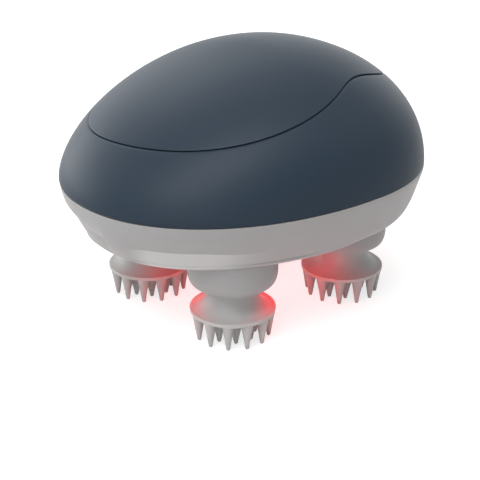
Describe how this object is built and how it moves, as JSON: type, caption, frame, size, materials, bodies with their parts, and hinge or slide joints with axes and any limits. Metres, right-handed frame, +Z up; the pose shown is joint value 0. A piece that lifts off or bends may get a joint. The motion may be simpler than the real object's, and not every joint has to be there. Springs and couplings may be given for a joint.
{
  "type": "electric scalp massager",
  "caption": "Palm-size egg-shaped massager with a dark cover over a light base, standing on turning spiked heads that pull off; geared motor drive inside.",
  "frame": {"origin": "middle of the bounding box, on the surface that the spike tips stand on", "axes": "+Z up through the top cover, +X along the length towards the full end with the power button, -X towards the slim end"},
  "size_m": [0.1146, 0.1024, 0.0808],
  "materials": {
    "dark_shell": "satin",
    "light_shell": "satin",
    "head_rubber": "matte",
    "red_lens": "polished",
    "soft_seal": "matte",
    "inner_plastic": "matte",
    "gear_nylon": "satin",
    "shaft_steel": "satin",
    "screw_steel": "satin",
    "motor_steel": "satin",
    "bush_brass": "satin",
    "contact_brass": "polished",
    "battery_can": "satin",
    "board": "satin",
    "chip": "matte",
    "bezel_plastic": "satin",
    "button_plastic": "satin",
    "status_lens": "polished",
    "magnet": "satin",
    "diode": "polished",
    "lead": "satin"
  },
  "bodies": {
    "casing": {"top_cover": "dark_shell", "upper_housing": "dark_shell", "base_housing": "light_shell", "housing_gasket": "soft_seal", "gear_deck": "inner_plastic", "deck_screws": "screw_steel", "case_screws": "screw_steel", "drive_axle": "screw_steel", "gearbox_case": "motor_steel", "motor": "motor_steel", "motor_strap": "inner_plastic", "battery_tray": "inner_plastic", "battery": "battery_can", "control_board": "board", "board_parts": "chip", "short_screws": "screw_steel", "button_bezel": "bezel_plastic", "button_switch": "chip", "button_board": "board", "status_light": "status_lens", "charging_seat": "bezel_plastic", "charging_contacts": "contact_brass", "seat_magnet": "magnet", "light_window": "red_lens", "light_board": "board", "light_diodes": "diode", "motor_leads": "lead", "battery_leads": "lead", "light_leads": "lead", "switch_leads": "lead", "charging_leads": "lead", "spindle_bush_1": "bush_brass", "spindle_bush_2": "bush_brass", "spindle_bush_3": "bush_brass", "spindle_bush_4": "bush_brass", "lip_seal_1": "soft_seal", "lip_seal_2": "soft_seal", "lip_seal_3": "soft_seal", "lip_seal_4": "soft_seal"},
    "drive_gear": {"drive_gear": "gear_nylon"},
    "pinion": {"drive_pinion": "gear_nylon", "gearbox_shaft": "shaft_steel"},
    "button": {"power_button": "button_plastic"},
    "spindle_1": {"spindle_1": "shaft_steel", "spindle_gear_1": "gear_nylon"},
    "head_1": {"massage_head_1": "head_rubber"},
    "spindle_2": {"spindle_2": "shaft_steel", "spindle_gear_2": "gear_nylon"},
    "head_2": {"massage_head_2": "head_rubber"},
    "spindle_3": {"spindle_3": "shaft_steel", "spindle_gear_3": "gear_nylon"},
    "head_3": {"massage_head_3": "head_rubber"},
    "spindle_4": {"spindle_4": "shaft_steel", "spindle_gear_4": "gear_nylon"},
    "head_4": {"massage_head_4": "head_rubber"}
  },
  "joints": [
    {"name": "drive_gear_spin", "type": "hinge", "parent": "casing", "child": "drive_gear", "pos_m": [0.0028, 0, 0.032], "axis": [0, 0, 1], "continuous": true},
    {"name": "pinion_spin", "type": "hinge", "parent": "casing", "child": "pinion", "pos_m": [0.03081, 0, 0.032], "axis": [0, 0, 1], "continuous": true},
    {"name": "button_press", "type": "slide", "parent": "casing", "child": "button", "axis": [-0.9062, 0, -0.4228], "range_m": [0, 0.0008], "stiffness_N_per_m": 1500, "springref_m": -0.0004},
    {"name": "spindle_1_spin", "type": "hinge", "parent": "casing", "child": "spindle_1", "pos_m": [-0.0202, -0.0208, 0.02], "axis": [0, 0, 1], "continuous": true},
    {"name": "head_1_pull_off", "type": "slide", "parent": "spindle_1", "child": "head_1", "axis": [0, 0, -1], "range_m": [0, 0.012]},
    {"name": "spindle_2_spin", "type": "hinge", "parent": "casing", "child": "spindle_2", "pos_m": [-0.0202, 0.0208, 0.02], "axis": [0, 0, 1], "continuous": true},
    {"name": "head_2_pull_off", "type": "slide", "parent": "spindle_2", "child": "head_2", "axis": [0, 0, -1], "range_m": [0, 0.012]},
    {"name": "spindle_3_spin", "type": "hinge", "parent": "casing", "child": "spindle_3", "pos_m": [0.0258, -0.0208, 0.02], "axis": [0, 0, 1], "continuous": true},
    {"name": "head_3_pull_off", "type": "slide", "parent": "spindle_3", "child": "head_3", "axis": [0, 0, -1], "range_m": [0, 0.012]},
    {"name": "spindle_4_spin", "type": "hinge", "parent": "casing", "child": "spindle_4", "pos_m": [0.0258, 0.0208, 0.02], "axis": [0, 0, 1], "continuous": true},
    {"name": "head_4_pull_off", "type": "slide", "parent": "spindle_4", "child": "head_4", "axis": [0, 0, -1], "range_m": [0, 0.012]}
  ],
  "couplings": [
    {"joint": "pinion_spin", "follows": "drive_gear_spin", "ratio": -3.6667},
    {"joint": "spindle_1_spin", "follows": "drive_gear_spin", "ratio": -2.4444},
    {"joint": "spindle_2_spin", "follows": "drive_gear_spin", "ratio": -2.4444},
    {"joint": "spindle_3_spin", "follows": "drive_gear_spin", "ratio": -2.4444},
    {"joint": "spindle_4_spin", "follows": "drive_gear_spin", "ratio": -2.4444}
  ]
}
